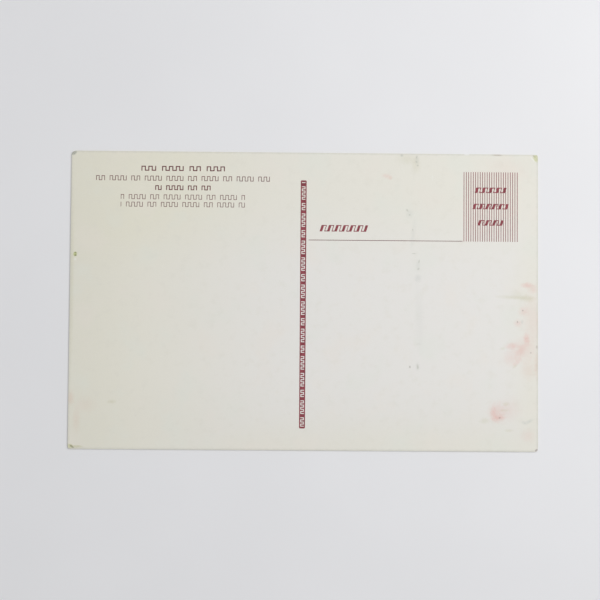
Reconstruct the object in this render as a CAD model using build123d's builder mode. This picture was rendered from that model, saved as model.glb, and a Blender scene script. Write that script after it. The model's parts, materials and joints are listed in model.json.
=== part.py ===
# A picture postcard lying picture side down, with its address side up.
# The board is three paper plies. Under them lie a clay coat, the picture's ink and a varnish,
# and on top of them lies one film of maroon ink for each printed block.
# Millimetres. The origin is the middle of the picture face, +X is the reading direction,
# +Y points to the card's top edge and +Z out of the address side.

import math
import os

from build123d import *

# Card outline
card_length = 139.7
card_height = 88.9
corner_radius = 0.6

# Layer thicknesses, from the picture face up
varnish_thickness = 0.01
picture_ink_thickness = 0.01
clay_coat_thickness = 0.02
picture_ply_thickness = 0.07
core_ply_thickness = 0.12
address_ply_thickness = 0.07
print_thickness = 0.01

# Divider bar between message and address, with windows in a row along it
divider_width = 1.75
divider_offset = -0.42
divider_top_margin = 8.35
divider_bottom_margin = 6.5
divider_corner_radius = 0.3
window_end_margin = 0.55
window_height = 1.05
window_weight = 0.25
window_pitch = 1.25

# Stamp box of upright hairlines
box_width = 16.15
box_height = 20.9
box_top_margin = 5.4
box_right_margin = 6.15
box_line_count = 24
box_line_weight = 0.16

# Address rule, from the divider to the foot of the stamp box
rule_weight = 0.14
rule_gap_to_divider = 0.7
rule_gap_to_box = 0.3

# Headings: rows of leaning strokes, heavy and light in turn
heading_slant = 18.0
heading_heavy = 0.75
heading_light = 0.18
heading_turn = 0.22
heading_pitch = 2.04
address_heading_gap = 3.97
address_heading_rise = 2.55
address_heading_length = 14.5
address_heading_height = 1.9
row_height = 1.6
row_spacing = 4.9
row_rise = 0.1
row_top_length = 9.6
row_middle_length = 10.9
row_bottom_length = 7.85

# Caption: rows of upright strokes, in a regular and a bold weight, and the title in one of its own
caption_offset = -0.95
caption_top_margin = 4.4
caption_height = 1.4
caption_bold = 0.24
caption_regular = 0.13
caption_pitch = 1.62
title_height = 1.45
title_weight = 0.27
title_pitch = 2.04
title_length = 24.9
place_length = 51.8
town_length = 16.5
note_length = 37.0
title_to_place = 2.94
place_to_town = 2.82
town_to_note = 2.78
note_to_note = 2.25

# Rhythm of the rows: the share of stroke places that stay empty and so part two words
word_gap_share = 0.14
word_gap_turn = (math.sqrt(5) - 1) / 2

# Heights and places that follow from the sizes above
board_layers = {
    "gloss_varnish": varnish_thickness,
    "picture_ink": picture_ink_thickness,
    "clay_coat": clay_coat_thickness,
    "picture_ply": picture_ply_thickness,
    "core_ply": core_ply_thickness,
    "address_ply": address_ply_thickness,
}
board_thickness = sum(board_layers.values())
print_plane = Plane.XY.offset(board_thickness)
divider_left = divider_offset - divider_width / 2
divider_right = divider_offset + divider_width / 2
divider_length = card_height - divider_top_margin - divider_bottom_margin
divider_foot = divider_bottom_margin - card_height / 2
box_right = card_length / 2 - box_right_margin
box_left = box_right - box_width
box_middle = box_right - box_width / 2
box_foot = card_height / 2 - box_top_margin - box_height
rule_left = divider_right + rule_gap_to_divider
rule_right = box_left - rule_gap_to_box
caption_middle = (divider_left - card_length / 2) / 2 + caption_offset


def save(piece, name):
    """Labels a finished piece and writes it under its name."""
    piece.label = name
    export_step(piece, f"parts/{name}.step")


def key_run(strokes, foot, height, turn, slant, mode):
    """One run of strokes, joined at head and foot in turn as in a key border.

    Each stroke is the pair of its left and right edges at the foot.
    """
    low = [(strokes[0][0], 0)]
    high = [(strokes[0][0], height)]
    for n, (stroke, following) in enumerate(zip(strokes, strokes[1:])):
        if n % 2:
            high += [(stroke[1], height), (stroke[1], turn), (following[0], turn), (following[0], height)]
        else:
            under = height - turn
            low += [(stroke[1], 0), (stroke[1], under), (following[0], under), (following[0], 0)]
    low.append((strokes[-1][1], 0))
    high.append((strokes[-1][1], height))
    lean = math.tan(math.radians(slant))
    outline = [(x + y * lean, foot + y) for x, y in low + high[::-1]]
    Polygon(*outline, align=None, mode=mode)


def key_row(left, foot, length, height, pitch, heavy, light, turn, slant=0.0, beat=None, mode=Mode.ADD):
    """A row of heavy and light strokes in turn, in one run, or parted into words where a beat is given."""
    reach = length - heavy - height * math.tan(math.radians(slant))
    pairs = max(1, round(reach / pitch))
    step = reach / pairs
    light_offset = (step + heavy - light) / 2
    last = 2 * pairs
    run = []
    for i in range(last + 1):
        start = left + i // 2 * step + i % 2 * light_offset
        parts_words = beat is not None and 0 < i < last and (i + beat) * word_gap_turn % 1 < word_gap_share
        if not parts_words:
            run.append((start, start + (light if i % 2 else heavy)))
        elif run:
            key_run(run, foot, height, turn, slant, mode)
            run = []
    key_run(run, foot, height, turn, slant, mode)


def heading_row(left, foot, length, height, mode=Mode.ADD):
    """A heading: one run of leaning strokes."""
    key_row(
        left,
        foot,
        length,
        height,
        heading_pitch,
        heading_heavy,
        heading_light,
        heading_turn,
        slant=heading_slant,
        mode=mode,
    )


os.makedirs("parts", exist_ok=True)

# Board layers, stacked from the picture face up
level = 0.0
for layer_name, layer_thickness in board_layers.items():
    with BuildPart() as board_layer:
        with BuildSketch(Plane.XY.offset(level)):
            RectangleRounded(card_length, card_height, corner_radius)
        extrude(amount=layer_thickness)
    save(board_layer.part, layer_name)
    level += layer_thickness

# Divider bar, drawn along its own length from its foot
divider_plane = Plane(
    origin=(divider_offset, divider_foot, board_thickness), x_dir=(0, 1, 0), z_dir=(0, 0, 1)
)
with BuildPart() as divider_bar:
    with BuildSketch(divider_plane):
        RectangleRounded(
            divider_length, divider_width, divider_corner_radius, align=(Align.MIN, Align.CENTER)
        )
        key_row(
            window_end_margin,
            -window_height / 2,
            divider_length - 2 * window_end_margin,
            window_height,
            window_pitch,
            window_weight,
            window_weight,
            window_weight,
            beat=0,
            mode=Mode.SUBTRACT,
        )
    extrude(amount=print_thickness)
save(divider_bar.part, "divider_bar")

# Address rule, in line with the foot of the stamp box
with BuildPart() as address_rule:
    with BuildSketch(print_plane):
        with Locations((rule_left, box_foot)):
            Rectangle(rule_right - rule_left, rule_weight, align=(Align.MIN, Align.MIN))
    extrude(amount=print_thickness)
save(address_rule.part, "address_rule")

# Address heading, over the start of the rule
with BuildPart() as address_heading:
    with BuildSketch(print_plane):
        heading_row(
            divider_right + address_heading_gap,
            box_foot + rule_weight + address_heading_rise,
            address_heading_length,
            address_heading_height,
        )
    extrude(amount=print_thickness)
save(address_heading.part, "address_heading")

# Heading rows of the stamp box, about the box's middle
middle_row_foot = box_foot + (box_height - row_height) / 2 + row_rise
box_rows = {
    "stamp_box_row_top": (middle_row_foot + row_spacing, row_top_length),
    "stamp_box_row_middle": (middle_row_foot, row_middle_length),
    "stamp_box_row_bottom": (middle_row_foot - row_spacing, row_bottom_length),
}
for row_name, (row_foot, row_length) in box_rows.items():
    with BuildPart() as box_row:
        with BuildSketch(print_plane):
            heading_row(box_middle - row_length / 2, row_foot, row_length, row_height)
        extrude(amount=print_thickness)
    save(box_row.part, row_name)

# Stamp box hairlines, which stop where a heading row crosses them
box_line_spacing = (box_width - box_line_weight) / (box_line_count - 1)
with BuildPart() as stamp_box_ruling:
    with BuildSketch(print_plane):
        with Locations((box_middle, box_foot + box_height / 2)):
            with GridLocations(box_line_spacing, box_height, box_line_count, 1):
                Rectangle(box_line_weight, box_height)
        for row_foot, row_length in box_rows.values():
            heading_row(box_middle - row_length / 2, row_foot, row_length, row_height, mode=Mode.SUBTRACT)
    extrude(amount=print_thickness)
save(stamp_box_ruling.part, "stamp_box_ruling")

# Caption rows, centred over the message space
title_foot = card_height / 2 - caption_top_margin - title_height
place_foot = title_foot - title_to_place
town_foot = place_foot - place_to_town
note_first_foot = town_foot - town_to_note
note_second_foot = note_first_foot - note_to_note
caption_rows = {
    "caption_title": (title_foot, title_length, title_height, title_pitch, title_weight),
    "caption_place": (place_foot, place_length, caption_height, caption_pitch, caption_regular),
    "caption_town": (town_foot, town_length, caption_height, caption_pitch, caption_bold),
    "caption_note_first": (note_first_foot, note_length, caption_height, caption_pitch, caption_regular),
    "caption_note_second": (note_second_foot, note_length, caption_height, caption_pitch, caption_regular),
}
for row_beat, (row_name, row_sizes) in enumerate(caption_rows.items()):
    foot, length, height, pitch, weight = row_sizes
    with BuildPart() as caption_row:
        with BuildSketch(print_plane):
            key_row(
                caption_middle - length / 2,
                foot,
                length,
                height,
                pitch,
                weight,
                weight,
                weight,
                beat=row_beat,
            )
        extrude(amount=print_thickness)
    save(caption_row.part, row_name)
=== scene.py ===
import json
import math
from collections import namedtuple

import bpy
import numpy as np
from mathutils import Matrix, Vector, noise


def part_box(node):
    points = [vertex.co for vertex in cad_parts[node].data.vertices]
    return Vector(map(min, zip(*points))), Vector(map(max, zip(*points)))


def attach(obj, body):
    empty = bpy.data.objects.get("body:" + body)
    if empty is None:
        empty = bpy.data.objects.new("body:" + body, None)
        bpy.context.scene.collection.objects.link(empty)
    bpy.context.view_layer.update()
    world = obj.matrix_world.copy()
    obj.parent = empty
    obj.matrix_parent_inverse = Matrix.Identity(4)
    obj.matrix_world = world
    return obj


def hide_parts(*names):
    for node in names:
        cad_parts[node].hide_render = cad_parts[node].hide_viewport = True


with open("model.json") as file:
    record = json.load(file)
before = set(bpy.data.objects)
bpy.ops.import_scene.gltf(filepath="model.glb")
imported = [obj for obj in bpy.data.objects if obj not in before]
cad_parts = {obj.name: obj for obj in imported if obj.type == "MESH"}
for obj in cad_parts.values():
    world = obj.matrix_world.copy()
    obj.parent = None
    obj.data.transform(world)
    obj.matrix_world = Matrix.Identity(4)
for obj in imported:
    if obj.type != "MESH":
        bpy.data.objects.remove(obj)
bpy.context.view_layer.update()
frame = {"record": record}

MM = 0.001

# Card sizes and material slots, read from the frame
ply_low, ply_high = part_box("address_ply")
HALF_LENGTH = (ply_high.x - ply_low.x) / 2
HALF_HEIGHT = (ply_high.y - ply_low.y) / 2
FACE_LEVEL = ply_high.z
SLOTS = {item["node"]: item["material_slot"] for item in frame["record"]["subparts"]}

# Radius of the card's corners, as in the solids
CORNER_RADIUS = 0.6 * MM

# Camera, fitted to the card's outline and print in the photograph, with its turn in degrees
CAMERA_LENS = 85.0
CAMERA_SENSOR = 36.0
CAMERA_PLACE = (-6.60 * MM, -18.84 * MM, 422.3 * MM)
CAMERA_TURN = (2.583, -0.741, 0.423)

# Light: a pale room, even daylight and a soft window near the card, both from the upper right
LIGHT_SIDE = Vector((0.57, 0.29, 0.77))
ROOM_TINT = (0.985, 0.992, 1.0, 1.0)
ROOM_AROUND = 0.62
ROOM_ABOVE = 0.43
ROOM_SLOPE = 0.4
DAYLIGHT_ENERGY = 0.83
DAYLIGHT_SPREAD = 50.0
DAYLIGHT_DISTANCE = 2.0
SOFT_WINDOW_ENERGY = 0.59
SOFT_WINDOW_SIZE = (0.3, 0.26)
SOFT_WINDOW_DISTANCE = 0.39

# Sheet meshes: spacing of their grids near the rim, on open paper and in a band about the crease
CORNER_STEPS = 7
RIM_STEP = 0.3 * MM
RIM_BAND = 2.4 * MM
OPEN_STEP = 2.0 * MM
FACE_STEP = 0.9 * MM
CREASE_STEP = 0.3 * MM
CREASE_BAND = (27.0 * MM, 36.5 * MM)
SHARP_ANGLE = 40.0

# Wear of the rim: how far the plies are rubbed back from the outline
RIM_WEAR = 0.035 * MM
RIM_WEAR_SCALE = 1.7 * MM
RIM_WEAR_REACH = 0.9 * MM
FACE_WEAR_SEED = 7
PICTURE_WEAR_SEED = 11

# Bent corners: sides in X and Y, then reach along the diagonal, lift and rubbed-off tip, in millimetres
BENT_CORNERS = (
    (1, 1, 1.35, 0.12, 0.10),
    (-1, -1, 1.2, 0.08, 0.12),
    (-1, 1, 0.9, 0.04, 0.30),
    (1, -1, 0.8, 0.04, 0.12),
)
BEND_CURL = 1.4

# The faint crease on the address side, as a line of points from the top edge down, in millimetres
CREASE_LINE = (
    (33.4, 44.4),
    (33.6, 40.8),
    (31.5, 26.5),
    (32.3, 21.4),
    (33.5, 13.0),
    (33.9, 7.0),
    (33.5, -20.0),
)
CREASE_HEIGHT = 0.012 * MM
CREASE_WIDTH = 0.55 * MM

# Dents along the crease and at the left edge: middle, half sizes and turn, in millimetres and degrees
DENTS = (
    (28.9, 43.9, 0.60, 0.60, 20),
    (33.4, 43.4, 0.35, 0.75, -8),
    (33.3, 42.0, 0.45, 0.50, 25),
    (33.7, 40.9, 0.55, 0.35, 0),
    (30.6, 27.4, 0.70, 0.42, -42),
    (31.4, 26.0, 0.42, 0.34, -30),
    (32.3, 21.5, 0.28, 0.75, 6),
    (32.6, 14.4, 1.05, 0.22, 3),
    (34.2, 12.0, 0.36, 0.85, -12),
    (34.0, 9.8, 0.60, 0.40, 35),
    (31.6, -19.5, 0.33, 0.50, 10),
    (33.9, -19.4, 0.50, 1.10, 8),
    (-68.4, 13.4, 0.60, 0.80, 0),
)
DENT_DEPTH = 0.03 * MM


def distance_from_tip(x, y, side_x, side_y):
    """Distance of a place from a corner's tip, along the diagonal."""
    return (HALF_LENGTH - side_x * x + HALF_HEIGHT - side_y * y) / math.sqrt(2)


def lift_of_bends(x, y):
    """How far the bent corners lift the card at a place, in metres."""
    lift = 0.0
    for side_x, side_y, reach, height, _ in BENT_CORNERS:
        from_tip = distance_from_tip(x, y, side_x, side_y)
        lift += height * MM * max(0.0, 1 - from_tip / (reach * MM)) ** BEND_CURL
    return lift


def crease_distance(x, y):
    """Distance from a place to the crease line."""
    place = Vector((x, y))
    nearest = math.inf
    for start, end in zip(CREASE_LINE, CREASE_LINE[1:]):
        a = Vector(start) * MM
        b = Vector(end) * MM
        share = (place - a).dot(b - a) / (b - a).length_squared
        off_line = place - a - (b - a) * min(1.0, max(0.0, share))
        nearest = min(nearest, off_line.length)
    return nearest


def relief_of_face(x, y):
    """The crease's ridge and its dents on the address side, in metres."""
    relief = CREASE_HEIGHT * math.exp(-((crease_distance(x, y) / CREASE_WIDTH) ** 2))
    for middle_x, middle_y, half_x, half_y, turn in DENTS:
        angle = math.radians(turn)
        dx = x / MM - middle_x
        dy = y / MM - middle_y
        along = (dx * math.cos(angle) + dy * math.sin(angle)) / half_x
        across = (dy * math.cos(angle) - dx * math.sin(angle)) / half_y
        relief -= DENT_DEPTH * math.exp(-(along**2) - across**2)
    return relief


def grid_places(half, open_step, fine_band=None):
    """Grid places from -half to half, closer near both ends and in the fine band, where there is one."""
    arc = CORNER_RADIUS * (1 - np.cos(np.linspace(0.0, math.pi / 2, CORNER_STEPS, endpoint=False)))
    rim = np.concatenate((arc, np.arange(CORNER_RADIUS, RIM_BAND, RIM_STEP)))
    open_count = math.ceil((2 * half - 2 * RIM_BAND) / open_step) + 1
    middle = np.linspace(RIM_BAND, 2 * half - RIM_BAND, open_count)
    places = np.concatenate((rim, middle, 2 * half - rim)) - half
    if fine_band:
        fine_from, fine_to = fine_band
        outside = (places < fine_from) | (places > fine_to)
        places = np.concatenate((places[outside], np.arange(fine_from, fine_to, CREASE_STEP)))
    return np.sort(places)


def worn_outline(x, y, seed):
    """Moves a place near the rim inwards, as handling rubs a ply back, most at the corners."""
    from_rim = min(HALF_LENGTH - abs(x), HALF_HEIGHT - abs(y))
    hold = max(0.0, 1 - from_rim / RIM_WEAR_REACH)
    wear = RIM_WEAR * (0.5 + 0.5 * noise.noise(Vector((x, y, seed * RIM_WEAR_SCALE)) / RIM_WEAR_SCALE))
    for side_x, side_y, reach, _, rubbed in BENT_CORNERS:
        from_tip = distance_from_tip(x, y, side_x, side_y)
        wear += rubbed * MM * max(0.0, 1 - from_tip / (reach * MM))
    x -= math.copysign(wear * hold, x)
    y -= math.copysign(wear * hold, y)
    return x, y


def row_half_length(y):
    """Half the card's length at a height, which the round corners shorten near the top and the foot."""
    into_corner = max(0.0, abs(y) - (HALF_HEIGHT - CORNER_RADIUS))
    return HALF_LENGTH - CORNER_RADIUS + math.sqrt(max(0.0, CORNER_RADIUS**2 - into_corner**2))


def sheet_faces(wide, tall):
    """Faces of a closed sheet of wide by tall places: its upper side, its under side and its rim."""
    over_start = wide * tall
    faces = []
    for j in range(tall - 1):
        for i in range(wide - 1):
            a = j * wide + i
            quad = (a, a + 1, a + wide + 1, a + wide)
            faces.append(tuple(over_start + v for v in quad))
            faces.append(quad[::-1])
    rim = list(range(wide))
    rim += [j * wide + wide - 1 for j in range(1, tall)]
    rim += [(tall - 1) * wide + i for i in range(wide - 2, -1, -1)]
    rim += [j * wide for j in range(tall - 2, 0, -1)]
    for a, b in zip(rim, rim[1:] + rim[:1]):
        faces.append((a, b, over_start + b, over_start + a))
    return faces


def sheet(name, low, high, seed, has_relief=False):
    """A closed sheet of the card's outline between two levels, with worn rim and bent corners."""
    step = FACE_STEP if has_relief else OPEN_STEP
    columns = grid_places(HALF_LENGTH, step, CREASE_BAND if has_relief else None)
    rows = grid_places(HALF_HEIGHT, step)
    under = []
    over = []
    for y in rows:
        for x in columns * (row_half_length(y) / HALF_LENGTH):
            worn_x, worn_y = worn_outline(x, y, seed)
            lift = lift_of_bends(x, y)
            relief = relief_of_face(x, y) if has_relief else 0.0
            under.append((worn_x, worn_y, low + lift))
            over.append((worn_x, worn_y, high + lift + relief))
    mesh = bpy.data.meshes.new(name)
    mesh.from_pydata(under + over, [], sheet_faces(len(columns), len(rows)))
    mesh.shade_smooth()
    mesh.set_sharp_from_angle(angle=math.radians(SHARP_ANGLE))
    return show(name, mesh)


def show(name, mesh):
    """Puts a finished mesh in the scene as an object of that name."""
    piece = bpy.data.objects.new(name, mesh)
    bpy.context.scene.collection.objects.link(piece)
    return piece


def place_on_card(piece, material, slot, *nodes):
    """Gives a piece its material and lets it ride on the card in place of its solids."""
    piece.data.materials.clear()
    piece.data.materials.append(material)
    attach(piece, "root")
    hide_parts(*nodes)


def srgb(red, green, blue):
    """A colour as seen, from 0 to 255, turned into the shader's linear values."""
    seen = [value / 255 for value in (red, green, blue)]
    return [v / 12.92 if v <= 0.04045 else ((v + 0.055) / 1.055) ** 2.4 for v in seen] + [1.0]


class Nodes:
    """A node tree with short calls that add nodes and join their sockets."""

    def __init__(self, tree):
        self.tree = tree

    def add(self, kind, inputs=None, **settings):
        """A new node with its settings and what goes into its inputs."""
        node = self.tree.nodes.new(kind)
        for name, value in settings.items():
            setattr(node, name, value)
        for socket, value in (inputs or {}).items():
            self.put(node.inputs[socket], value)
        return node

    def put(self, socket, value):
        """Links a socket to a node or another socket, or sets it to a plain value."""
        if isinstance(value, bpy.types.Node):
            value = value.outputs[0]
        if isinstance(value, bpy.types.NodeSocket):
            self.tree.links.new(value, socket)
        else:
            socket.default_value = value

    def math(self, operation, a, b=0.0, c=0.0):
        """A sum or other operation on single values."""
        return self.add("ShaderNodeMath", {0: a, 1: b, 2: c}, operation=operation)

    def vector(self, operation, a, b):
        """An operation on vectors."""
        return self.add("ShaderNodeVectorMath", {0: a, 1: b}, operation=operation)

    def scale(self, vector, factor):
        """A vector made longer or shorter."""
        return self.add("ShaderNodeVectorMath", {0: vector, "Scale": factor}, operation="SCALE")

    def mix(self, factor, a, b):
        """A colour between two colours."""
        node = self.add("ShaderNodeMix", {0: factor, 6: a, 7: b}, data_type="RGBA")
        return node.outputs[2]

    def step(self, value, start, end, low=0.0, high=1.0):
        """A smooth change from low to high while the value goes from start to end."""
        inputs = {"Value": value, "From Min": start, "From Max": end, "To Min": low, "To Max": high}
        return self.add("ShaderNodeMapRange", inputs, interpolation_type="SMOOTHSTEP")

    def noise(self, place, scale, detail=3.0, roughness=0.5):
        """Cloudy noise at a place."""
        inputs = {"Vector": place, "Scale": scale, "Detail": detail, "Roughness": roughness}
        return self.add("ShaderNodeTexNoise", inputs)

    def streaks(self, place, stretch, scale=1.0, detail=5.0, roughness=0.6):
        """Noise whose place is stretched first, so that it runs in streaks."""
        return self.noise(self.vector("MULTIPLY", place, stretch), scale, detail, roughness)

    def bump(self, shader, height, strength, depth):
        """Gives a shader's surface small heights and hollows."""
        inputs = {"Height": height, "Strength": strength, "Distance": depth}
        self.put(shader.inputs["Normal"], self.add("ShaderNodeBump", inputs))


def new_material(name):
    """A material with its nodes, its Principled shader and the place on the card in millimetres."""
    material = bpy.data.materials.new(name)
    material.use_nodes = True
    material.node_tree.nodes.clear()
    nodes = Nodes(material.node_tree)
    shader = nodes.add("ShaderNodeBsdfPrincipled")
    output = nodes.add("ShaderNodeOutputMaterial")
    nodes.put(output.inputs["Surface"], shader)
    coordinates = nodes.add("ShaderNodeTexCoord")
    place = nodes.scale(coordinates.outputs["Object"], 1 / MM)
    return material, nodes, shader, place.outputs[0]


def add_inputs(tree, kinds):
    """Gives a node group its named inputs, each of its own kind."""
    for name, kind in kinds.items():
        tree.interface.new_socket(name, in_out="INPUT", socket_type="NodeSocket" + kind)


# Paper tones of the address side
PAPER = srgb(234, 232, 228)
PAPER_YELLOWED = srgb(232, 229, 213)
PAPER_WARM = srgb(236, 229, 220)
PAPER_COOL = srgb(227, 231, 222)
# Darker, slightly yellower paper, used as painted shade towards the left and the foot
PAPER_SHADED = srgb(221, 219, 205)
# Greyed paper: grime, and along the address side's rim also painted shade
PAPER_GREYED = srgb(203, 202, 192)
FIBRE_LIGHT = srgb(240, 238, 231)
FIBRE_DARK = srgb(222, 219, 208)
# Painted shade in the dents
DENT_SHADE = srgb(184, 184, 172)

# Changes over the paper: from where to where, in millimetres, and how strong
RIM_YELLOWING = {"start": 2.0, "end": 16.0, "low": 0.47, "high": 0.0}
LEFT_YELLOWING = {"start": 3.0, "end": -66.0, "high": 0.77}
TOP_YELLOWING = {"start": 4.0, "end": 34.0, "high": 0.5}
# Painted shade: the paper darker towards the left and the foot, where less light falls
LEFT_PAINTED_SHADE = {"start": -46.0, "end": -72.0, "high": 0.35}
FOOT_PAINTED_SHADE = {"start": -18.0, "end": -42.0, "high": 0.17}
# The rim greyed by grime and by painted shade at the edge
RIM_GRIME_AND_SHADE = {"start": 0.35, "end": 1.25, "low": 0.5, "high": 0.0}
YELLOWING_DRIFT = 6.0
RIM_GRIME_AND_SHADE_DRIFT = 0.9

# Fibres of the paper and how far they stand out
FLECK_STRETCH = (1.0, 2.6, 1.0)
FLECK_STRENGTH = 0.3
THREAD_WIDTH = 0.012
THREAD_STRENGTH = 0.3
THREAD_HEIGHT = 0.35
FORMATION_STRENGTH = 0.22
FORMATION_HEIGHT = 0.6
WARMTH_START = (31.0, 7.0, 0.0)
WARMTH_STRENGTH = 0.3
PLY_STRETCH = (1.0, 1.0, 12.0)

# Inputs of the blot that all marks on the paper are made with
BLOT_INPUTS = {
    "Place": "Vector",
    "Grain": "Float",
    "Cover": "Float",
    "Middle": "Vector",
    "Half size": "Vector",
    "Turn": "Float",
    "Ragged": "Float",
    "Softness": "Float",
}


def blot_group():
    """A soft oval mask on the card, made ragged by a grain and patchy by a cover."""
    tree = bpy.data.node_groups.new("blot", "ShaderNodeTree")
    add_inputs(tree, BLOT_INPUTS)
    tree.interface.new_socket("Mask", in_out="OUTPUT", socket_type="NodeSocketFloat")
    nodes = Nodes(tree)
    given = nodes.add("NodeGroupInput").outputs
    off = nodes.vector("SUBTRACT", given["Place"], given["Middle"])
    turning = {"Vector": off, "Angle": given["Turn"]}
    turned = nodes.add("ShaderNodeVectorRotate", turning, rotation_type="Z_AXIS")
    flat = nodes.vector("MULTIPLY", turned, (1, 1, 0))
    oval = nodes.vector("DIVIDE", flat, given["Half size"])
    size = nodes.add("ShaderNodeVectorMath", {0: oval}, operation="LENGTH").outputs["Value"]
    ragged = nodes.math("MULTIPLY_ADD", given["Grain"], given["Ragged"], size)
    inner = nodes.math("SUBTRACT", 1.0, given["Softness"])
    mask = nodes.step(ragged, inner, 1.0, low=1.0, high=0.0)
    patchy = nodes.math("MULTIPLY", mask, given["Cover"])
    nodes.put(nodes.add("NodeGroupOutput").inputs["Mask"], patchy)
    return tree


def blot(nodes, group, paper, mark, ragged, softness):
    """One blot of a mark given as middle x, middle y, half width, half height and turn.

    The paper is its place, grain and cover, which all blots share.
    """
    place, grain, cover = paper
    middle_x, middle_y, half_x, half_y, turn = mark
    inputs = {
        "Place": place,
        "Grain": grain,
        "Cover": cover,
        "Middle": (middle_x, middle_y, 0),
        "Half size": (half_x, half_y, 1),
        "Turn": -math.radians(turn),
        "Ragged": ragged,
        "Softness": softness,
    }
    return nodes.add("ShaderNodeGroup", inputs, node_tree=group)


# Stains of the address side, and painted shade along the crease: strength, then middle, half sizes and
# turn, in millimetres and degrees
PINK_SMEARS = (
    (0.42, 66.6, 5.2, 2.5, 1.2, 0),
    (0.24, 68.3, 4.1, 2.2, 2.0, 0),
    (0.22, 65.6, -2.6, 2.4, 2.1, 0),
    (0.26, 63.9, -6.2, 1.8, 1.7, 0),
    (0.46, 66.5, -10.9, 1.4, 2.5, 10),
    (0.30, 64.7, -14.4, 1.8, 3.6, -38),
    (0.36, 62.1, -13.0, 2.9, 1.4, 6),
    (0.20, 65.3, -14.2, 5.6, 5.2, 0),
    (0.18, 61.5, -16.6, 3.0, 3.4, 0),
    (0.24, 63.6, -17.8, 1.1, 2.6, -38),
    (0.36, 56.6, -33.0, 1.4, 2.8, 4),
    (0.48, 58.1, -34.4, 2.8, 1.5, 4),
    (0.22, 57.5, -32.8, 3.4, 4.2, 0),
    (0.13, 58.3, -32.8, 5.2, 4.6, 0),
    (0.14, 66.9, -39.8, 3.2, 3.0, 0),
    (0.14, 68.2, -5.5, 4.0, 13.0, 0),
    (0.12, 61.4, -31.8, 5.2, 5.0, 0),
    (0.08, 61.0, 40.0, 11.0, 6.0, 0),
    (0.26, 24.5, 37.6, 2.2, 1.1, -12),
)
RUST_EDGES = (
    (0.36, 69.7, -18.8, 1.3, 6.0, 0),
    (0.26, 69.8, -6.0, 0.9, 6.0, 0),
    (0.20, 67.1, -20.2, 3.6, 4.4, 0),
    (0.34, -69.4, -29.4, 1.9, 3.2, 0),
    (0.18, -67.4, -36.0, 1.7, 5.4, 0),
    (0.12, -64.6, -31.4, 4.6, 3.4, 0),
    (0.30, 25.6, 37.0, 0.8, 0.8, 0),
)
OLIVE_SCUFFS = (
    (0.34, 62.9, 1.5, 7.4, 0.9, -2),
    (0.16, 63.7, 2.5, 3.6, 2.2, -12),
    (0.34, 66.6, 1.2, 3.4, 1.5, -4),
    (0.26, 59.3, -13.8, 1.4, 0.7, 6),
    (0.28, 53.9, -35.3, 1.9, 1.3, 0),
    (0.30, 60.3, -30.3, 1.6, 0.9, 0),
    (0.24, 59.7, -32.2, 2.2, 0.6, 0),
    (0.26, 61.1, -38.2, 1.8, 0.7, 4),
    (0.30, 62.9, -19.1, 1.4, 0.6, 42),
    (0.40, -57.0, -30.4, 2.0, 0.8, 6),
    (0.22, 30.4, 42.7, 4.6, 2.4, 0),
    (0.24, 33.2, 41.2, 2.0, 3.6, 0),
    (0.30, -69.4, 6.0, 1.1, 40.0, 0),
)
GREY_SCUFFS_AND_CREASE_SHADE = (
    (0.34, 67.2, -35.4, 2.1, 0.8, 28),
    (0.30, 65.6, -35.8, 1.3, 0.7, -28),
    (0.30, 65.1, -5.8, 0.6, 0.9, 0),
    # Painted shade along the crease and in its dents, from here to the end of the list
    (0.26, 33.9, 7.0, 1.5, 1.7, 0),
    (0.16, 32.4, 20.0, 1.1, 6.5, -6),
    (0.18, 31.3, 26.4, 1.6, 2.0, 0),
    (0.20, 33.9, 10.8, 1.0, 2.6, 0),
    (0.20, 33.9, -19.3, 1.0, 1.9, 0),
    (0.10, 34.4, -5.0, 2.0, 14.0, 2),
    (0.12, 34.3, -12.6, 1.3, 0.6, 0),
    (0.26, 33.5, 42.4, 0.9, 2.2, 0),
    (0.26, 28.9, 43.8, 0.8, 0.7, 0),
)
SPECKS = (
    (0.46, 65.3, -2.4, 0.36, 0.30, 0),
    (0.52, 63.7, -5.8, 0.34, 0.40, 30),
    (0.42, 58.4, -34.4, 0.50, 0.38, 10),
    (0.34, 67.7, -15.0, 0.40, 0.40, 0),
    (0.34, 69.5, -13.3, 0.45, 0.90, 0),
    (0.34, 31.6, -19.5, 0.40, 0.60, 0),
)
PALE_MARKS = (
    (0.40, 38.2, 37.4, 0.30, 1.50, 4),
    (0.80, -68.4, 11.9, 0.60, 0.50, 0),
    (0.30, 32.8, 25.9, 0.50, 0.40, 0),
)
# Stains, and among the grey ones painted shade along the crease
STAINS_AND_CREASE_SHADE = (
    (srgb(228, 178, 168), PINK_SMEARS),
    (srgb(222, 190, 172), RUST_EDGES),
    (srgb(204, 200, 172), OLIVE_SCUFFS),
    (srgb(192, 196, 190), GREY_SCUFFS_AND_CREASE_SHADE),
    (srgb(118, 92, 86), SPECKS),
    (srgb(240, 239, 233), PALE_MARKS),
)
# Raggedness and softness of the stains, the painted crease shade and the painted dent shade
MARK_RAGGED = 0.7
MARK_SOFTNESS = 1.0
# Strength of the painted shade in the dents
DENT_SHADE_STRENGTH = 0.52

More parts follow.
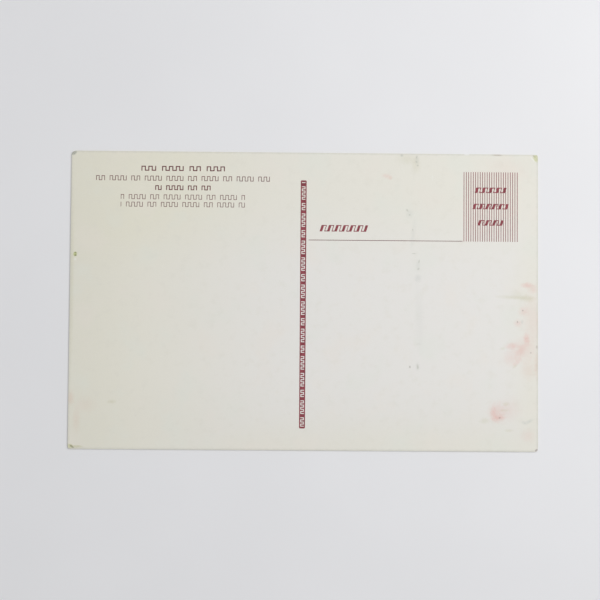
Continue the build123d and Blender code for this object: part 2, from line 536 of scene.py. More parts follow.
# Bruised paper at the corners and edges, with a painted highlight along the top right corner's fold and
# painted shade in the bottom left corner's fold: colour, then as the stains
BRUISES_AND_FOLD_SHADING = (
    (srgb(206, 208, 164), (0.75, 69.4, 43.4, 1.35, 1.50, 0)),
    (srgb(176, 178, 140), (0.55, 68.7, 43.9, 0.70, 0.35, -40)),
    # Painted highlight along the top right corner's fold
    (srgb(243, 243, 236), (0.60, 68.3, 43.0, 1.40, 0.30, -50)),
    (srgb(166, 168, 158), (0.78, -69.1, 43.8, 1.10, 0.75, 35)),
    (srgb(202, 202, 158), (0.65, -69.2, -43.6, 1.30, 0.90, 0)),
    (srgb(198, 198, 160), (0.50, -67.4, -43.7, 2.60, 0.50, 0)),
    # Painted shade in the bottom left corner's fold
    (srgb(128, 126, 100), (0.58, -68.6, -43.7, 1.00, 0.38, -35)),
    (srgb(178, 170, 166), (0.85, 69.35, -43.95, 0.65, 0.45, 35)),
    (srgb(192, 200, 132), (0.80, -68.4, 13.45, 0.75, 0.95, 0)),
    (srgb(112, 112, 80), (0.65, -68.3, 13.85, 0.42, 0.27, 0)),
    (srgb(112, 112, 80), (0.75, -68.3, 13.1, 0.44, 0.29, 0)),
    (srgb(186, 176, 164), (0.60, 57.6, 44.2, 2.10, 0.32, -2)),
    (srgb(238, 238, 238), (0.60, 48.4, 44.3, 1.10, 0.35, 0)),
)
EDGE_MARK_RAGGED = 0.4
EDGE_MARK_SOFTNESS = 0.6


def paper_tone(nodes, place, x, y, from_rim):
    """Paper that has yellowed towards the rim, the left and the top, with painted shade that darkens it
    towards the left and the foot.
    """
    clouds = nodes.noise(place, scale=0.045, detail=4.0, roughness=0.55)
    cloudy_rim = nodes.math("MULTIPLY_ADD", clouds, YELLOWING_DRIFT, from_rim)
    rim_tone = nodes.step(cloudy_rim, **RIM_YELLOWING)
    side_tone = nodes.math("ADD", nodes.step(x, **LEFT_YELLOWING), nodes.step(y, **TOP_YELLOWING))
    colour = nodes.mix(nodes.math("MAXIMUM", rim_tone, side_tone), PAPER, PAPER_YELLOWED)
    # Painted shade towards the left and the foot
    colour = nodes.mix(nodes.step(x, **LEFT_PAINTED_SHADE), colour, PAPER_SHADED)
    return nodes.mix(nodes.step(y, **FOOT_PAINTED_SHADE), colour, PAPER_SHADED)


def paper_fibres(nodes, place, colour):
    """The paper's colour, height and roughness with its flecks, threads, formation and warmth."""
    flecks = nodes.streaks(place, FLECK_STRETCH, scale=2.4, detail=5.0, roughness=0.7)
    colour = nodes.mix(nodes.step(flecks, 0.56, 0.72, high=FLECK_STRENGTH), colour, FIBRE_DARK)
    colour = nodes.mix(nodes.step(flecks, 0.44, 0.30, high=FLECK_STRENGTH), colour, FIBRE_LIGHT)
    tangle = nodes.noise(place, scale=1.9, detail=3.0, roughness=0.45)
    off_thread = nodes.math("ABSOLUTE", nodes.math("SUBTRACT", tangle, 0.5))
    threads = nodes.step(off_thread, THREAD_WIDTH, 0.0)
    colour = nodes.mix(nodes.math("MULTIPLY", threads, THREAD_STRENGTH), colour, FIBRE_LIGHT)
    formation = nodes.noise(place, scale=0.35, detail=3.0, roughness=0.6)
    colour = nodes.mix(nodes.step(formation, 0.5, 0.75, high=FORMATION_STRENGTH), colour, FIBRE_DARK)
    warmth = nodes.noise(nodes.vector("ADD", place, WARMTH_START), scale=0.07)
    colour = nodes.mix(nodes.step(warmth, 0.52, 0.72, high=WARMTH_STRENGTH), colour, PAPER_WARM)
    colour = nodes.mix(nodes.step(warmth, 0.48, 0.28, high=WARMTH_STRENGTH), colour, PAPER_COOL)
    height = nodes.math("MULTIPLY_ADD", formation, FORMATION_HEIGHT, flecks)
    height = nodes.math("MULTIPLY_ADD", threads, THREAD_HEIGHT, height)
    roughness = nodes.step(flecks, 0.3, 0.7, low=0.78, high=0.88)
    return colour, height, roughness


def paper_marks(nodes, place, from_rim, colour):
    """The paper's colour with stains and painted shade along the crease, then painted shade in the dents,
    then the rim greyed by grime and painted shade, and the bruised corners and edges with a painted
    highlight and painted shade at the bent corners' folds.
    """
    group = blot_group()
    grain = nodes.math("SUBTRACT", nodes.noise(place, scale=1.1, detail=5.0, roughness=0.65), 0.5)
    patches = nodes.streaks(place, FLECK_STRETCH, scale=3.4, detail=3.0, roughness=0.6)
    cover = nodes.step(patches, 0.34, 0.66, low=0.5, high=1.5)
    paper = (place, grain, cover)
    # Stains, and painted shade along the crease
    for stain_and_shade_tone, marks in STAINS_AND_CREASE_SHADE:
        for strength, *mark in marks:
            mask = blot(nodes, group, paper, mark, MARK_RAGGED, MARK_SOFTNESS)
            colour = nodes.mix(nodes.math("MULTIPLY", mask, strength), colour, stain_and_shade_tone)
    # Painted shade in the dents
    dents = 0.0
    for mark in DENTS:
        mask = blot(nodes, group, paper, mark, MARK_RAGGED, MARK_SOFTNESS)
        dents = nodes.math("MAXIMUM", dents, mask)
    colour = nodes.mix(nodes.math("MULTIPLY", dents, DENT_SHADE_STRENGTH), colour, DENT_SHADE)
    # The rim greyed by grime and by painted shade at the edge
    grime = nodes.noise(place, scale=0.8, detail=5.0, roughness=0.7)
    rim_grime_and_shade = nodes.math("MULTIPLY_ADD", grime, RIM_GRIME_AND_SHADE_DRIFT, from_rim)
    colour = nodes.mix(nodes.step(rim_grime_and_shade, **RIM_GRIME_AND_SHADE), colour, PAPER_GREYED)
    # Bruises, with a painted highlight and painted shade at the corners' folds
    for edge_mark_tone, (strength, *mark) in BRUISES_AND_FOLD_SHADING:
        mask = blot(nodes, group, paper, mark, EDGE_MARK_RAGGED, EDGE_MARK_SOFTNESS)
        colour = nodes.mix(nodes.math("MULTIPLY", mask, strength), colour, edge_mark_tone)
    return colour


def paper_face_material():
    """Uncoated paper of the address side, yellowed, stained and worn."""
    material, nodes, shader, place = new_material("address_paper")
    split = nodes.add("ShaderNodeSeparateXYZ", {0: place}).outputs
    x = split["X"]
    y = split["Y"]
    from_side = nodes.math("SUBTRACT", HALF_LENGTH / MM, nodes.math("ABSOLUTE", x))
    from_end = nodes.math("SUBTRACT", HALF_HEIGHT / MM, nodes.math("ABSOLUTE", y))
    from_rim = nodes.math("MINIMUM", from_side, from_end)
    colour = paper_tone(nodes, place, x, y, from_rim)
    colour, height, roughness = paper_fibres(nodes, place, colour)
    colour = paper_marks(nodes, place, from_rim, colour)
    nodes.put(shader.inputs["Base Color"], colour)
    nodes.put(shader.inputs["Roughness"], roughness)
    shader.inputs["Specular IOR Level"].default_value = 0.25
    nodes.bump(shader, height, strength=0.2, depth=0.02 * MM)
    return material


def ply_material(name, tone, fibre):
    """Paper seen at a ply's cut edge: short fibres along the sheet."""
    material, nodes, shader, place = new_material(name)
    fibres = nodes.streaks(place, PLY_STRETCH, scale=1.6, detail=5.0, roughness=0.7)
    grime = nodes.noise(place, scale=0.25, detail=3.0, roughness=0.6)
    colour = nodes.mix(nodes.step(fibres, 0.35, 0.7), tone, fibre)
    colour = nodes.mix(nodes.step(grime, 0.5, 0.8, high=0.4), colour, PAPER_GREYED)
    nodes.put(shader.inputs["Base Color"], colour)
    nodes.put(shader.inputs["Roughness"], nodes.step(fibres, 0.3, 0.7, low=0.8, high=0.92))
    nodes.bump(shader, fibres, strength=0.3, depth=0.02 * MM)
    return material


# Maroon ink in thick blocks, and in fine strokes, where it looks deeper and browner
BLOCK_INK = {"full": srgb(150, 75, 83), "deep": srgb(130, 61, 69), "starved": srgb(176, 111, 115)}
CAPTION_INK = {"full": srgb(115, 64, 67), "deep": srgb(99, 50, 55), "starved": srgb(147, 98, 99)}


def ink_material(name, full, deep, starved):
    """Maroon offset ink, a little uneven where the paper's fibres took it up."""
    material, nodes, shader, place = new_material(name)
    mottle = nodes.noise(place, scale=0.9, detail=4.0, roughness=0.6)
    grain = nodes.noise(place, scale=5.0, detail=4.0, roughness=0.7)
    colour = nodes.mix(nodes.step(mottle, 0.4, 0.65), full, deep)
    colour = nodes.mix(nodes.step(grain, 0.58, 0.74, high=0.6), colour, starved)
    nodes.put(shader.inputs["Base Color"], colour)
    nodes.put(shader.inputs["Roughness"], nodes.step(grain, 0.35, 0.7, low=0.55, high=0.75))
    shader.inputs["Specular IOR Level"].default_value = 0.3
    nodes.bump(shader, grain, strength=0.15, depth=0.01 * MM)
    return material


# Picture side: colours of a made-up mountain lake, from the back of the view to the front
SKY_HIGH = srgb(74, 128, 190)
SKY_LOW = srgb(190, 214, 230)
CLOUD = srgb(240, 240, 236)
SNOW = srgb(226, 230, 234)
FAR_RIDGE = srgb(112, 136, 162)
FAR_RIDGE_LIT = srgb(150, 164, 178)
NEAR_RIDGE = srgb(84, 110, 118)
FAR_FIRS = srgb(52, 82, 74)
FAR_FIRS_LIT = srgb(82, 110, 84)
WATER = srgb(70, 116, 150)
WATER_LIT = srgb(168, 196, 212)
WATER_DARK = srgb(48, 80, 88)
GRASS = srgb(126, 140, 62)
GRASS_LIT = srgb(184, 182, 96)
GRASS_DARK = srgb(74, 96, 46)
FLOWER = srgb(222, 122, 96)
FIR = srgb(36, 62, 44)
FIR_LIT = srgb(88, 116, 62)
PRINT_FADE = srgb(228, 214, 186)

# Skylines of the picture, in millimetres, with the place in the noise where each starts
PEAKS = {"base": 17.0, "swing": 11.0, "scale": 0.03, "start": 3.0, "detail": 5.0}
HILLS = {"base": 7.5, "swing": 6.0, "scale": 0.045, "start": 9.0, "detail": 4.0}
SHORE = {"base": -2.0, "swing": 2.0, "scale": 0.03, "start": 21.0, "detail": 2.0}
MEADOW = {"base": -20.0, "swing": 4.0, "scale": 0.035, "start": 33.0, "detail": 5.0}
SKYLINE_SOFTNESS = 0.15

# Streaks of clouds, gullies, wind on the water and blades of grass
CLOUD_STRETCH = (0.022, 0.055, 1.0)
GULLY_ACROSS = 0.42
GULLY_SLANT = 0.16
GULLY_UP = 0.2
WIND_STRETCH = (0.05, 0.9, 1.0)
BLADE_STRETCH = (1.6, 0.5, 1.0)
BLADE_HEIGHT = 6.0
SNOW_REACH = 22.0
THICKET_HEIGHT = 0.6
THICKET_SWING = 1.5
LAKE_DROP = 1.4

# Firs: parts of one as shares of its room and its height, and the rows in millimetres
FIR_SPREAD = 0.36
FIR_PLACE = 0.42
FIR_PLACE_SWING = 0.16
FIR_HEIGHT_SWING = 0.5
FIR_GRAIN = 9.0
FIR_TIER_SWING = 0.9
FIR_BOUGH = 1.15
FIR_BOUGH_TAPER = 0.55
FIR_EDGE = 0.04
FIR_FOOT = 0.02
FIR_SUN_GRAIN = 1.6
FIR_SUN_FROM = 0.8
FIR_SUN_TO = 1.5
FAR_FIR_ROWS = ({"start": 0.3, "rise": 1.2}, {"start": 5.7, "rise": 0.4}, {"start": 9.5, "rise": -0.4})
FAR_FIR_SIZES = {"spacing": 1.9, "height": 6.0, "tiers": 7.0}
TALL_FIR_ROWS = (
    {"start": 2.4, "ground": -21.5, "spacing": 13.0, "height": 40.0},
    {"start": 7.9, "ground": -25.5, "spacing": 16.0, "height": 52.0},
    {"start": 4.6, "ground": -31.0, "spacing": 21.0, "height": 68.0},
)
TALL_FIR_TIERS = 9.0
TALL_FIR_CLEARING = 30.0

# What the parts of the picture are drawn with: nodes, and the place across, up and in the plane
View = namedtuple("View", "nodes across up flat")


def ridge_level(view, base, swing, scale, start, detail):
    """Height of a skyline along the picture, in millimetres."""
    nodes = view.nodes
    along = nodes.math("MULTIPLY_ADD", view.across, scale, start)
    inputs = {"W": along, "Scale": 1.0, "Detail": detail}
    wave = nodes.add("ShaderNodeTexNoise", inputs, noise_dimensions="1D")
    return nodes.math("MULTIPLY_ADD", nodes.math("SUBTRACT", wave, 0.5), 2 * swing, base)


def below(view, level):
    """Mask of what lies under a level."""
    return view.nodes.step(view.nodes.math("SUBTRACT", level, view.up), 0.0, SKYLINE_SOFTNESS)


def fir_row(view, foot, start, spacing, height, tiers, clearing=0.0):
    """Mask and sunlit side of a row of firs, with none within the clearing about the middle."""
    nodes = view.nodes
    spread = FIR_SPREAD * spacing
    cell = nodes.math("MULTIPLY_ADD", view.across, 1 / spacing, start)
    number = nodes.math("FLOOR", cell)
    chance = nodes.add("ShaderNodeTexWhiteNoise", {"W": number}, noise_dimensions="1D")
    chances = nodes.add("ShaderNodeSeparateColor", {0: chance.outputs["Color"]}).outputs
    middle = nodes.math("MULTIPLY_ADD", chances[0], FIR_PLACE_SWING, nodes.math("ADD", number, FIR_PLACE))
    aside = nodes.math("MULTIPLY", nodes.math("SUBTRACT", cell, middle), spacing)
    least = (1 - FIR_HEIGHT_SWING) * height
    tall = nodes.math("MULTIPLY_ADD", chances[1], FIR_HEIGHT_SWING * height, least)
    rise = nodes.math("DIVIDE", nodes.math("SUBTRACT", view.up, foot), tall)
    ragged = nodes.noise(view.flat, scale=FIR_GRAIN / spacing, detail=4.0, roughness=0.7)
    tier = nodes.math("MULTIPLY_ADD", ragged, FIR_TIER_SWING, nodes.math("MULTIPLY", rise, tiers))
    boughs = nodes.math("MULTIPLY_ADD", nodes.math("FRACT", tier), -FIR_BOUGH_TAPER, FIR_BOUGH)
    taper = nodes.math("MAXIMUM", nodes.math("SUBTRACT", 1.0, rise), 0.0)
    half = nodes.math("MULTIPLY", nodes.math("MULTIPLY", taper, boughs), spread)
    inside = nodes.math("SUBTRACT", half, nodes.math("ABSOLUTE", aside))
    above_foot = nodes.step(rise, 0.0, FIR_FOOT)
    mask = nodes.math("MULTIPLY", nodes.step(inside, 0.0, FIR_EDGE * spacing), above_foot)
    off_middle = nodes.math("ABSOLUTE", nodes.math("SUBTRACT", view.across, aside))
    mask = nodes.math("MULTIPLY", mask, nodes.math("GREATER_THAN", off_middle, clearing))
    sunward = nodes.math("MULTIPLY_ADD", ragged, FIR_SUN_GRAIN * spread, aside)
    return mask, nodes.step(sunward, FIR_SUN_FROM * spread, FIR_SUN_TO * spread)


def sky(view):
    """Sky with drifting clouds."""
    nodes = view.nodes
    colour = nodes.mix(nodes.step(view.up, 6.0, 46.0), SKY_LOW, SKY_HIGH)
    drift = nodes.streaks(view.flat, CLOUD_STRETCH, detail=6.0, roughness=0.58)
    return nodes.mix(nodes.step(drift, 0.48, 0.68, high=0.9), colour, CLOUD)


def rock_gullies(view):
    """Noise that runs slantwise down the mountains."""
    nodes = view.nodes
    slant = nodes.math("MULTIPLY", view.across, GULLY_ACROSS)
    slant = nodes.math("MULTIPLY_ADD", view.up, GULLY_SLANT, slant)
    place = nodes.add("ShaderNodeCombineXYZ", {"X": slant, "Y": nodes.math("MULTIPLY", view.up, GULLY_UP)})
    return nodes.noise(place, scale=1.0, detail=6.0, roughness=0.6)


def mountains(view, gullies, colour):
    """Two mountain ridges, the far one with snow in its gullies."""
    nodes = view.nodes
    from_peak = nodes.math("SUBTRACT", ridge_level(view, **PEAKS), view.up)
    snow_line = nodes.math("MULTIPLY_ADD", gullies, -SNOW_REACH, from_peak)
    far = nodes.mix(nodes.step(gullies, 0.4, 0.65), FAR_RIDGE, FAR_RIDGE_LIT)
    far = nodes.mix(nodes.step(snow_line, -6.0, -9.5), far, SNOW)
    colour = nodes.mix(nodes.step(from_peak, 0.0, SKYLINE_SOFTNESS), colour, far)
    near = nodes.mix(nodes.step(gullies, 0.42, 0.66, high=0.55), NEAR_RIDGE, FAR_RIDGE)
    return nodes.mix(below(view, ridge_level(view, **HILLS)), colour, near)


def far_shore(view, shore, gullies, colour):
    """Far shore: a band of small firs over a thicket."""
    nodes = view.nodes
    for row in FAR_FIR_ROWS:
        foot = nodes.math("ADD", shore, row["rise"])
        mask, sunlit = fir_row(view, foot, row["start"], **FAR_FIR_SIZES)
        colour = nodes.mix(mask, colour, nodes.mix(sunlit, FAR_FIRS, FAR_FIRS_LIT))
    thicket = nodes.math("MULTIPLY_ADD", gullies, THICKET_SWING, THICKET_HEIGHT)
    return nodes.mix(below(view, nodes.math("ADD", shore, thicket)), colour, FAR_FIRS)


def lake(view, shore, colour):
    """Lake, dark under the far shore and streaked by the wind."""
    nodes = view.nodes
    wind = nodes.streaks(view.flat, WIND_STRETCH)
    water = nodes.mix(nodes.step(wind, 0.42, 0.66), WATER, WATER_LIT)
    water = nodes.mix(nodes.step(view.up, -12.0, -4.0, high=0.8), water, WATER_DARK)
    return nodes.mix(below(view, nodes.math("SUBTRACT", shore, LAKE_DROP)), colour, water)


def meadow(view, blades, colour):
    """Meadow in front, with patches of flowers."""
    nodes = view.nodes
    grass = nodes.mix(nodes.step(blades, 0.42, 0.6), GRASS_DARK, GRASS)
    grass = nodes.mix(nodes.step(blades, 0.56, 0.7), grass, GRASS_LIT)
    heads = nodes.add("ShaderNodeTexVoronoi", {"Vector": view.flat, "Scale": 0.42})
    patches = nodes.step(nodes.noise(view.flat, scale=0.06), 0.5, 0.6)
    flowers = nodes.math("MULTIPLY", nodes.step(heads.outputs["Distance"], 0.22, 0.14), patches)
    grass = nodes.mix(flowers, grass, FLOWER)
    return nodes.mix(below(view, ridge_level(view, **MEADOW)), colour, grass)


def tall_firs(view, blades, colour):
    """Tall firs at both sides, rooted in the grass, which leave the middle open."""
    nodes = view.nodes
    for row in TALL_FIR_ROWS:
        foot = nodes.math("MULTIPLY_ADD", blades, BLADE_HEIGHT, row["ground"])
        mask, sunlit = fir_row(
            view, foot, row["start"], row["spacing"], row["height"], TALL_FIR_TIERS, TALL_FIR_CLEARING
        )
        colour = nodes.mix(mask, colour, nodes.mix(sunlit, FIR, FIR_LIT))
    return colour


def picture_material():
    """Colour print of a lake among firs and mountains, a little faded, under a gloss varnish."""
    material, nodes, shader, place = new_material("picture_print")
    split = nodes.add("ShaderNodeSeparateXYZ", {0: place}).outputs
    across = nodes.math("MULTIPLY", split["X"], -1.0)
    flat = nodes.add("ShaderNodeCombineXYZ", {"X": across, "Y": split["Y"]})
    view = View(nodes, across, split["Y"], flat)
    gullies = rock_gullies(view)
    shore = ridge_level(view, **SHORE)
    blades = nodes.streaks(flat, BLADE_STRETCH, detail=5.0, roughness=0.65)
    colour = mountains(view, gullies, sky(view))
    colour = far_shore(view, shore, gullies, colour)
    colour = lake(view, shore, colour)
    colour = meadow(view, blades, colour)
    colour = tall_firs(view, blades, colour)
    grain = nodes.noise(flat, scale=3.2, detail=3.0, roughness=0.7)
    colour = nodes.mix(nodes.step(grain, 0.5, 0.8, low=0.03, high=0.16), colour, PRINT_FADE)
    nodes.put(shader.inputs["Base Color"], colour)
    nodes.put(shader.inputs["Roughness"], nodes.step(grain, 0.3, 0.7, low=0.38, high=0.46))
    shader.inputs["Coat Weight"].default_value = 0.9
    shader.inputs["Coat Roughness"].default_value = 0.07
    return material


# Pale table under the card
TABLE_SIZE = 6.0
TABLE_TONE = srgb(234, 234, 236)
TABLE_LIGHT = srgb(236, 236, 238)


def table_material():
    """Plain pale table."""
    material, nodes, shader, place = new_material("pale_table")
    grain = nodes.noise(place, scale=0.02)
    nodes.put(shader.inputs["Base Color"], nodes.mix(nodes.step(grain, 0.3, 0.7), TABLE_TONE, TABLE_LIGHT))
    shader.inputs["Roughness"].default_value = 0.7
    shader.inputs["Specular IOR Level"].default_value = 0.2
    return material


# How the ink lies: rounding of its corners, spread and unevenness of its edges, thickness of its film
INK_ROUNDING = 0.05 * MM
INK_ROUNDING_POINTS = 3
INK_GAIN = 0.015 * MM
CAPTION_PLACE_GAIN = 0.027 * MM
INK_WANDER = 0.03 * MM
INK_WANDER_SCALE = 3.2 / MM
INK_POINT_STEP = 0.07 * MM
INK_FILM = 0.01 * MM
INK_MERGE = 0.0005 * MM

# The headings' ink lies over the hairlines
HEADING_RAISE = 0.002 * MM

# Ink blocks: sizes of their strokes, as in the solids, in millimetres
HEADING = {"pitch": 2.04, "heavy": 0.75, "light": 0.18, "turn": 0.22, "slant": 18.0}
CAPTION_REGULAR = {"pitch": 1.62, "heavy": 0.13, "light": 0.13, "turn": 0.13}
CAPTION_BOLD = {"pitch": 1.62, "heavy": 0.24, "light": 0.24, "turn": 0.24}
TITLE = {"pitch": 2.04, "heavy": 0.27, "light": 0.27, "turn": 0.27}
KEY_ROWS = {
    "address_heading": HEADING,
    "stamp_box_row_top": HEADING,
    "stamp_box_row_middle": HEADING,
    "stamp_box_row_bottom": HEADING,
    "caption_title": dict(TITLE, beat=0),
    "caption_place": dict(CAPTION_REGULAR, beat=1, gain=CAPTION_PLACE_GAIN),
    "caption_town": dict(CAPTION_BOLD, beat=2),
    "caption_note_first": dict(CAPTION_REGULAR, beat=3),
    "caption_note_second": dict(CAPTION_REGULAR, beat=4),
}
BAR_WINDOWS = {"pitch": 1.25, "heavy": 0.25, "light": 0.25, "turn": 0.25, "beat": 0, "gain": 0.0}
BAR_WINDOW_MARGIN = 0.55 * MM
BAR_WINDOW_HEIGHT = 1.05 * MM
BAR_CORNER = 0.3 * MM
ARC_STEPS = 6
RULING_LINES = 24
RULING_WEIGHT = 0.16 * MM
WORD_GAP_SHARE = 0.14
WORD_GAP_TURN = (math.sqrt(5) - 1) / 2

# Seeds of the uneven edges: the rows take theirs in turn from 0
BAR_SEED = 20
RULE_SEED = 21
RULING_SEED = 22

# Inputs of the inking, and those of the ruling besides
INKING_INPUTS = {
    "Outlines": "Geometry",
    "Rounding": "Float",
    "Wander": "Float",
    "Wander scale": "Float",
    "Point step": "Float",
    "Film": "Float",
    "Seed": "Float",
    "Ink": "Material",
}
RULING_INPUTS = {"Lines": "Int", "Line step": "Float"}


def key_run(strokes, foot, height, turn, slant, gain):
    """Outline of one run of strokes, joined at head and foot in turn as in a key border.

    The gain is how far the ink spreads past each edge.
    """
    strokes = [(start - gain, end + gain) for start, end in strokes]
    foot -= gain
    height += 2 * gain
    turn += 2 * gain
    low = [(strokes[0][0], 0)]
    high = [(strokes[0][0], height)]
    for n, (stroke, following) in enumerate(zip(strokes, strokes[1:])):
        if n % 2:
            high += [(stroke[1], height), (stroke[1], turn), (following[0], turn), (following[0], height)]
        else:
            under = height - turn
            low += [(stroke[1], 0), (stroke[1], under), (following[0], under), (following[0], 0)]
    low.append((strokes[-1][1], 0))
    high.append((strokes[-1][1], height))
    lean = math.tan(math.radians(slant))
    return [(x + y * lean, foot + y) for x, y in low + high[::-1]]


def key_row(left, foot, length, height, pitch, heavy, light, turn, slant=0.0, beat=None, gain=INK_GAIN):
    """Outlines of a row of heavy and light strokes in turn, parted into words where a beat is given."""
    heavy, light, turn = heavy * MM, light * MM, turn * MM
    reach = length - heavy - height * math.tan(math.radians(slant))
    pairs = max(1, round(reach / (pitch * MM)))
    step = reach / pairs
    light_offset = (step + heavy - light) / 2
    last = 2 * pairs
    outlines = []
    run = []
    for i in range(last + 1):
        start = left + i // 2 * step + i % 2 * light_offset
        parts_words = beat is not None and 0 < i < last and (i + beat) * WORD_GAP_TURN % 1 < WORD_GAP_SHARE
        if not parts_words:
            run.append((start, start + (light if i % 2 else heavy)))
        elif run:
            outlines.append(key_run(run, foot, height, turn, slant, gain))
            run = []
    outlines.append(key_run(run, foot, height, turn, slant, gain))
    return outlines


def node_rectangle(node):
    """Left, foot, length and height of a printed block, from its solid."""
    low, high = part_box(node)
    return low.x, low.y, high.x - low.x, high.y - low.y


def rectangle(left, foot, length, height):
    """Outline of a plain rectangle."""
    return [(left, foot), (left + length, foot), (left + length, foot + height), (left, foot + height)]


def rounded_rectangle(left, foot, length, height, radius):
    """Outline of a rectangle with round corners."""
    outline = []
    corners = rectangle(left + radius, foot + radius, length - 2 * radius, height - 2 * radius)
    for quarter, (x, y) in zip((2, 3, 0, 1), corners):
        for n in range(ARC_STEPS + 1):
            angle = math.pi / 2 * (quarter + n / ARC_STEPS)
            outline.append((x + radius * math.cos(angle), y + radius * math.sin(angle)))
    return outline


def divider_outlines():
    """The divider bar's outline and, inside it, the windows, which run up the bar."""
    left, foot, width, length = node_rectangle("divider_bar")
    across = left + width / 2
    row_length = length - 2 * BAR_WINDOW_MARGIN
    windows = key_row(
        BAR_WINDOW_MARGIN, -BAR_WINDOW_HEIGHT / 2, row_length, BAR_WINDOW_HEIGHT, **BAR_WINDOWS
    )
    turned = [[(across - v, foot + u) for u, v in outline] for outline in windows]
    return [rounded_rectangle(left, foot, width, length, BAR_CORNER)] + turned


def rule_outline():
    """The address rule, which the ink's spread makes thicker."""
    left, foot, length, height = node_rectangle("address_rule")
    return rectangle(left, foot - INK_GAIN, length, height + 2 * INK_GAIN)


def hairline_outline():
    """The stamp box's first hairline, and the step to the next one."""
    left, foot, width, height = node_rectangle("stamp_box_ruling")
    line = rectangle(left - INK_GAIN, foot, RULING_WEIGHT + 2 * INK_GAIN, height)
    return line, (width - RULING_WEIGHT) / (RULING_LINES - 1)


def repeated_lines(nodes, given, line):
    """One line, repeated along the box."""
    step = nodes.add("ShaderNodeCombineXYZ", {"X": given["Line step"]})
    row = nodes.add("GeometryNodeMeshLine", {"Count": given["Lines"], "Offset": step})
    spots = nodes.add("GeometryNodeInstanceOnPoints", {"Points": row, "Instance": line})
    return nodes.add("GeometryNodeRealizeInstances", {"Geometry": spots})


def uneven_edges(nodes, given, outlines):
    """Outlines with rounded corners and edges that wander a little."""
    rounding = {
        "Curve": outlines,
        "Count": INK_ROUNDING_POINTS,
        "Radius": given["Rounding"],
        "Limit Radius": True,
    }
    rounded = nodes.add("GeometryNodeFilletCurve", rounding, mode="POLY")
    spacing = {"Curve": rounded, "Length": given["Point step"]}
    fine = nodes.add("GeometryNodeResampleCurve", spacing, mode="LENGTH")
    waving = {
        "Vector": nodes.add("GeometryNodeInputPosition"),
        "W": given["Seed"],
        "Scale": given["Wander scale"],
        "Detail": 2.0,
    }
    wave = nodes.add("ShaderNodeTexNoise", waving, noise_dimensions="4D")
    centred = nodes.vector("SUBTRACT", wave.outputs["Color"], (0.5, 0.5, 0.5))
    sideways = nodes.vector("MULTIPLY", centred, (1.0, 1.0, 0.0))
    moved = nodes.scale(sideways, given["Wander"])
    return nodes.add("GeometryNodeSetPosition", {"Geometry": fine, "Offset": moved})


def closed_film(nodes, given, outlines):
    """Outlines filled and raised into a closed film."""
    flat = nodes.add("GeometryNodeFillCurve", {"Curve": outlines}, mode="TRIANGLES")
    raising = {"Mesh": flat, "Offset Scale": given["Film"], "Individual": False}
    raised = nodes.add("GeometryNodeExtrudeMesh", raising)
    under = nodes.add("GeometryNodeFlipFaces", {"Mesh": flat})
    both = nodes.add("GeometryNodeJoinGeometry")
    nodes.put(both.inputs[0], raised.outputs["Mesh"])
    nodes.put(both.inputs[0], under)
    return nodes.add("GeometryNodeMergeByDistance", {"Geometry": both, "Distance": INK_MERGE})


def inking_tree(name, repeats_lines=False):
    """Geometry nodes that turn outlines into a thin film of ink with rounded, slightly uneven edges.

    With repeats_lines the outline is one hairline, which is repeated along the box.
    """
    tree = bpy.data.node_groups.new(name, "GeometryNodeTree")
    add_inputs(tree, INKING_INPUTS)
    if repeats_lines:
        add_inputs(tree, RULING_INPUTS)
    tree.interface.new_socket("Film of ink", in_out="OUTPUT", socket_type="NodeSocketGeometry")
    nodes = Nodes(tree)
    given = nodes.add("NodeGroupInput").outputs
    outlines = nodes.add("GeometryNodeMeshToCurve", {"Mesh": given["Outlines"]})
    if repeats_lines:
        outlines = repeated_lines(nodes, given, outlines)
    film = closed_film(nodes, given, uneven_edges(nodes, given, outlines))
    whole = nodes.add("GeometryNodeRealizeInstances", {"Geometry": film})
    inked = nodes.add("GeometryNodeSetMaterial", {"Geometry": whole, "Material": given["Ink"]})
    nodes.put(nodes.add("NodeGroupOutput").inputs[0], inked)
    return tree


def outline_mesh(name, outlines):
    """A mesh of closed edge loops, one for each outline."""
    points = []
    edges = []
    for outline in outlines:
        start = len(points)
        count = len(outline)
        points += [(x, y, 0.0) for x, y in outline]
        edges += [(start + i, start + (i + 1) % count) for i in range(count)]
    mesh = bpy.data.meshes.new(name)
    mesh.from_pydata(points, edges, [])
    return mesh


def inked_mesh(name, outlines, tree, values):
    """The mesh that the inking makes of outlines, with the values of its named inputs."""
    drawn = show(name + "_outline", outline_mesh(name, outlines))
    modifier = drawn.modifiers.new("inking", "NODES")
    modifier.node_group = tree
    for item in tree.interface.items_tree:
        if item.in_out == "INPUT" and item.name in values:
            modifier[item.identifier] = values[item.name]
    depsgraph = bpy.context.evaluated_depsgraph_get()
    mesh = bpy.data.meshes.new_from_object(drawn.evaluated_get(depsgraph))
    bpy.data.objects.remove(drawn)
    mesh.name = name
    return mesh


def print_block(node, outlines, tree, seed, ink, film=INK_FILM, more=None):
    """Inks one printed block, lays it on the bent card and puts it in its solid's place."""
    name = node + "_ink"
    values = {
        "Rounding": INK_ROUNDING,
        "Wander": INK_WANDER,
        "Wander scale": INK_WANDER_SCALE,
        "Point step": INK_POINT_STEP,
        "Film": film,
        "Seed": float(seed),
        "Ink": ink,
    }
    mesh = inked_mesh(name, outlines, tree, {**values, **(more or {})})
    for vertex in mesh.vertices:
        x, y, _ = vertex.co
        vertex.co.z += FACE_LEVEL + lift_of_bends(x, y) + relief_of_face(x, y)
    place_on_card(show(name, mesh), ink, SLOTS[node], node)


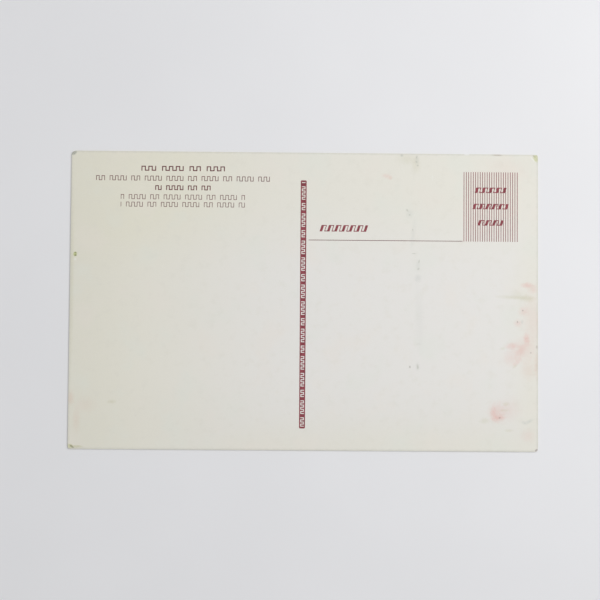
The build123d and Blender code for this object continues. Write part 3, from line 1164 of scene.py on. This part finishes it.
# Inner layers of the board: node, name of the material, tone and fibre
BOARD = (
    ("picture_ply", "picture_ply_paper", srgb(226, 222, 208), srgb(208, 200, 180)),
    ("core_ply", "core_ply_paper", srgb(214, 204, 180), srgb(192, 180, 152)),
    ("clay_coat", "clay_coating", srgb(240, 240, 237), srgb(232, 231, 226)),
)
for seed, (node, paper_name, tone, fibre) in enumerate(BOARD, start=1):
    low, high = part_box(node)
    layer = sheet(node + "_sheet", low.z, high.z, seed)
    place_on_card(layer, ply_material(paper_name, tone, fibre), SLOTS[node], node)

# Address side
low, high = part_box("address_ply")
face_sheet = sheet("address_face_sheet", low.z, high.z, FACE_WEAR_SEED, has_relief=True)
place_on_card(face_sheet, paper_face_material(), SLOTS["address_ply"], "address_ply")

# Picture side: its ink with the varnish on it
print_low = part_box("gloss_varnish")[0].z
print_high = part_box("picture_ink")[1].z
picture_sheet = sheet("picture_print_sheet", print_low, print_high, PICTURE_WEAR_SEED)
place_on_card(picture_sheet, picture_material(), SLOTS["picture_ink"], "picture_ink", "gloss_varnish")

# Printed blocks of the address side
block_ink = ink_material("maroon_offset_ink", **BLOCK_INK)
caption_ink = ink_material("maroon_caption_ink", **CAPTION_INK)
inking = inking_tree("inking")
ruling = inking_tree("hairline_ruling", repeats_lines=True)
for seed, (node, strokes) in enumerate(KEY_ROWS.items()):
    ink = block_ink if strokes is HEADING else caption_ink
    film = INK_FILM + (HEADING_RAISE if strokes is HEADING else 0.0)
    print_block(node, key_row(*node_rectangle(node), **strokes), inking, seed, ink, film)
print_block("divider_bar", divider_outlines(), inking, BAR_SEED, block_ink)
print_block("address_rule", [rule_outline()], inking, RULE_SEED, caption_ink)
hairline, hairline_step = hairline_outline()
lines = {"Lines": RULING_LINES, "Line step": hairline_step}
print_block("stamp_box_ruling", [hairline], ruling, RULING_SEED, block_ink, more=lines)

# Table
bpy.ops.mesh.primitive_plane_add(size=TABLE_SIZE)
floor = bpy.context.object
floor.name = "table"
floor.data.materials.append(table_material())

# Room, brighter around than above
world = bpy.data.worlds.new("room")
bpy.context.scene.world = world
world.use_nodes = True
room = Nodes(world.node_tree)
background = world.node_tree.nodes["Background"]
background.inputs["Color"].default_value = ROOM_TINT
direction = room.add("ShaderNodeTexCoord").outputs["Generated"]
upward = room.add("ShaderNodeSeparateXYZ", {0: direction}).outputs["Z"]
room.put(background.inputs["Strength"], room.step(upward, 0.0, ROOM_SLOPE, ROOM_AROUND, ROOM_ABOVE))

# Lights
daylight = bpy.data.lights.new("daylight", "SUN")
daylight.angle = math.radians(DAYLIGHT_SPREAD)
daylight.energy = DAYLIGHT_ENERGY
soft_window = bpy.data.lights.new("window", "AREA")
soft_window.shape = "RECTANGLE"
soft_window.size, soft_window.size_y = SOFT_WINDOW_SIZE
soft_window.energy = SOFT_WINDOW_ENERGY
for light_data, distance in ((daylight, DAYLIGHT_DISTANCE), (soft_window, SOFT_WINDOW_DISTANCE)):
    light = bpy.data.objects.new(light_data.name, light_data)
    bpy.context.scene.collection.objects.link(light)
    light.location = distance * LIGHT_SIDE
    light.rotation_euler = LIGHT_SIDE.to_track_quat("Z", "Y").to_euler()

# Camera
camera_data = bpy.data.cameras.new("camera")
camera_data.lens = CAMERA_LENS
camera_data.sensor_width = CAMERA_SENSOR
camera = bpy.data.objects.new("camera", camera_data)
bpy.context.scene.collection.objects.link(camera)
camera.location = CAMERA_PLACE
camera.rotation_euler = [math.radians(angle) for angle in CAMERA_TURN]
bpy.context.scene.camera = camera
bpy.context.scene.view_settings.view_transform = "Standard"
